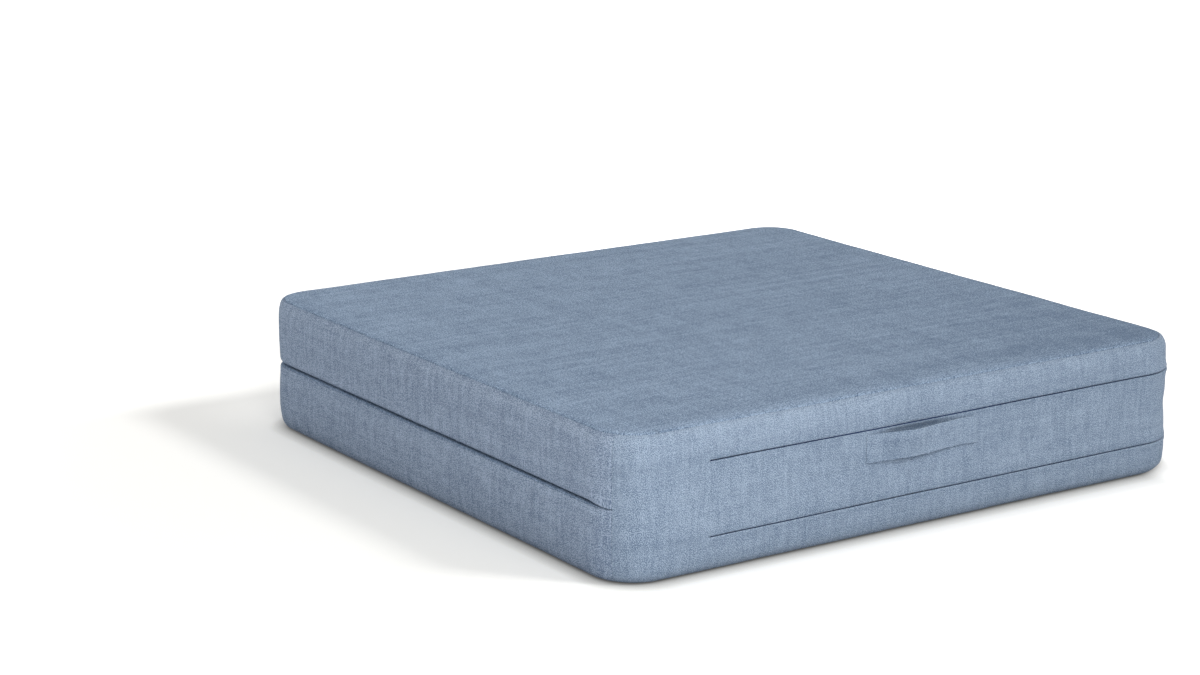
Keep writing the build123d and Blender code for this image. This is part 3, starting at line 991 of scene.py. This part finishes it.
def stitch(name, middle, upright):
    """One stitch: a short block with its edges rounded and both ends pressed in."""
    size = [stitch_length, thread_radius * 1.6, thread_radius * 2]
    made = start_box(name, middle, size[::-1] if upright else size)
    round_edges(made, lambda edge: True, thread_radius * 0.75, 2)
    long_axis = 2 if upright else 0
    for point in made.data.vertices:
        gone = abs(point.co[long_axis] - middle[long_axis]) / (stitch_length / 2)
        point.co.y += stitch_sunk * gone ** 2
    return made


def on_strap(x, z):
    """Place for a stitch on the strap's outer face."""
    return Vector((x, -half_y - 0.00025 - float(pressed_thick(x)), z + strap_skew * x))


stitches = []
z0, z1 = strap_low + box_margin, strap_high - box_margin
for x0, x1 in ((strap_left + 0.002, strap_left + sewn_left - 0.001), (strap_right - 0.018, strap_right - 0.002)):
    level = [x0 + (k + 0.5) * stitch_pitch for k in range(int((x1 - x0) / stitch_pitch))]
    upward = [z0 + (k + 0.5) * stitch_pitch for k in range(int((z1 - z0) / stitch_pitch))]
    spots = [(x, z, False) for z in (z0, z1) for x in level] + [(x, z, True) for x in (x0, x1) for z in upward]
    for x, z, upright in spots:
        stitches.append(stitch(f"stitch_{len(stitches)}", on_strap(x, z), upright))
seams = join("strap_stitches", stitches)
bpy.ops.object.shade_smooth()
seams.data.materials.append(thread)
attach(seams, "upper_half")
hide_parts("strap_stitching")


# Studio floor: a wide white sweep that shows the futon's soft shadow.
# For the camera it glows, a painted light that lifts it to paper white outside the shadow and lightens that shadow in
# places, and a painted contact shade darkens it right where something stands on it.
floor_size = 30.0
contact_reach, bounce_reach = 0.026, 0.20
shadow_lift = 0.085


def seen_directly(material):
    """1 for rays from the camera, off glossy surfaces and through clear ones."""
    rays = add(material, "LightPath").outputs
    largest = {"operation": "MAXIMUM"}
    seen = add(material, "Math", largest, {0: rays["Is Camera Ray"], 1: rays["Is Glossy Ray"]})
    return add(material, "Math", largest, {0: seen.outputs[0], 1: rays["Is Transmission Ray"]}).outputs[0]


bpy.ops.object.select_all(action="DESELECT")
bpy.ops.mesh.primitive_plane_add(size=floor_size, location=(0, 0, 0))
floor = bpy.context.object
floor.name = "studio_floor"
paper = begin("white_studio_floor")
# Light that bounces off it is darkened near the futon, a painted shade, and tinted faintly blue.
near = add(paper, "AmbientOcclusion", {"Distance": bounce_reach, "Color": linear("#EFF2F7")})
matt = add(paper, "BsdfDiffuse", None, {"Color": near.outputs["Color"]})
# What the camera sees carries a painted contact shade, dark right by anything standing on it.
contact = add(paper, "AmbientOcclusion", {"Distance": contact_reach})
tones = {"data_type": "RGBA", 6: linear("#6A6966"), 7: linear("#FFFEFA")}
dimmed = add(paper, "Mix", tones, {0: contact.outputs["AO"]})
shown = add(paper, "BsdfDiffuse", None, {"Color": dimmed.outputs[2]})
place = add(paper, "TexCoord").outputs["Object"]
on_floor = add(paper, "SeparateXYZ", None, {"Vector": place}).outputs
away, from_corner, from_right = [
    add(paper, "VectorMath", {"operation": "DISTANCE", 1: spot}, {0: place}).outputs["Value"]
    for spot in ((0.0, 0.0, 0.0), (-0.40, 0.55, 0.0), (0.49, -0.49, 0.0))
]
# Besides the lift far off, which only whitens the backdrop, the lifts are painted light: the floor glows whiter in
# front of the spine, beside the right end and behind the futon, and lighter in its shadow near the back left corner
# and in its contact shade by the front right corner; the shadow lift lightens it a little everywhere.
# what each lift goes by, where it starts and ends, and how much it lifts there
lifts = [
    (away, 0.85, 2.0, 0.60),
    (on_floor["Y"], -0.496, -0.560, 0.35),
    (on_floor["X"], 0.490, 0.530, 0.35),
    (on_floor["Y"], 0.62, 0.74, 0.15),
    (from_corner, 0.20, 0.0, 0.15),
    (from_right, 0.075, 0.025, 0.30),
]
ramps = [
    add(
        paper, "MapRange",
        {"interpolation_type": "SMOOTHSTEP", "From Min": start, "From Max": end, "To Min": 0.0, "To Max": most},
        {"Value": source},
    ).outputs[0] for source, start, end, most in lifts
]
ramps[0] = add(paper, "Math", {"operation": "ADD", 1: shadow_lift}, {0: ramps[0]}).outputs[0]
glow = add(paper, "Emission", {"Color": linear("#FFFFFF")}, {"Strength": total(paper, ramps)})
lifted = add(paper, "AddShader", None, {0: shown.outputs[0], 1: glow.outputs[0]})
mixed = add(paper, "MixShader", None, {0: seen_directly(paper), 1: matt.outputs[0], 2: lifted.outputs[0]})
add(paper, "OutputMaterial", None, {"Surface": mixed.outputs[0]})
floor.data.materials.append(paper)


# Studio light: a white room, a far key at the front right that casts the shadow to the left, a far fill from
# the front, a soft far light from behind on the left, and two near soft boxes that brighten the spine's left
# end and the far left.
room_light = 0.349
world = bpy.context.scene.world = begin("white_room", bpy.data.worlds)
lit = add(world, "Background", {"Color": linear("#FFFFFF"), "Strength": room_light})
backdrop = add(world, "Background", {"Color": linear("#FFFFFF"), "Strength": 1.0})
mixed = add(world, "MixShader", None, {0: seen_directly(world), 1: lit.outputs[0], 2: backdrop.outputs[0]})
add(world, "OutputWorld", None, {"Surface": mixed.outputs[0]})

# name, kind, place or direction, size in metres or spread in degrees, and power
lights = [
    ("key_light", "SUN", (0.8, -0.9, 1.0), 11.0, 1.05),
    ("front_light", "SUN", (-0.4, -1.0, 1.4), 50.0, 0.554),
    ("back_light", "SUN", (-0.35, 0.9, 1.0), 60.0, 0.19),
    ("spine_box", "AREA", (-1.3, -2.2, 1.1), 1.0, 20.8),
    ("far_left_box", "AREA", (-1.6, 1.4, 1.5), 1.5, 6.3),
]
for name, kind, spot, spread, power in lights:
    bpy.ops.object.light_add(type=kind, location=Vector(spot) * (3 if kind == "SUN" else 1))
    lamp = bpy.context.object
    lamp.name, lamp.data.energy = name, power
    if kind == "SUN":
        lamp.data.angle, facing = radians(spread), Vector(spot)
    else:
        lamp.data.shape, lamp.data.size, facing = "DISK", spread, Vector(spot) - Vector((0, 0, 0.1))
    lamp.rotation_euler = facing.to_track_quat("Z", "Y").to_euler()


# Camera: the photograph's place and lens, worked out from the futon's outline.
bpy.ops.object.camera_add(location=(-2.3649, -3.2404, 1.1634), rotation=(radians(76.01), 0.0, radians(-33.792)))
camera = bpy.context.object
camera.data.lens, camera.data.sensor_width = 83.68, 36.0
bpy.context.scene.camera = camera
bpy.context.scene.view_settings.view_transform = "Standard"
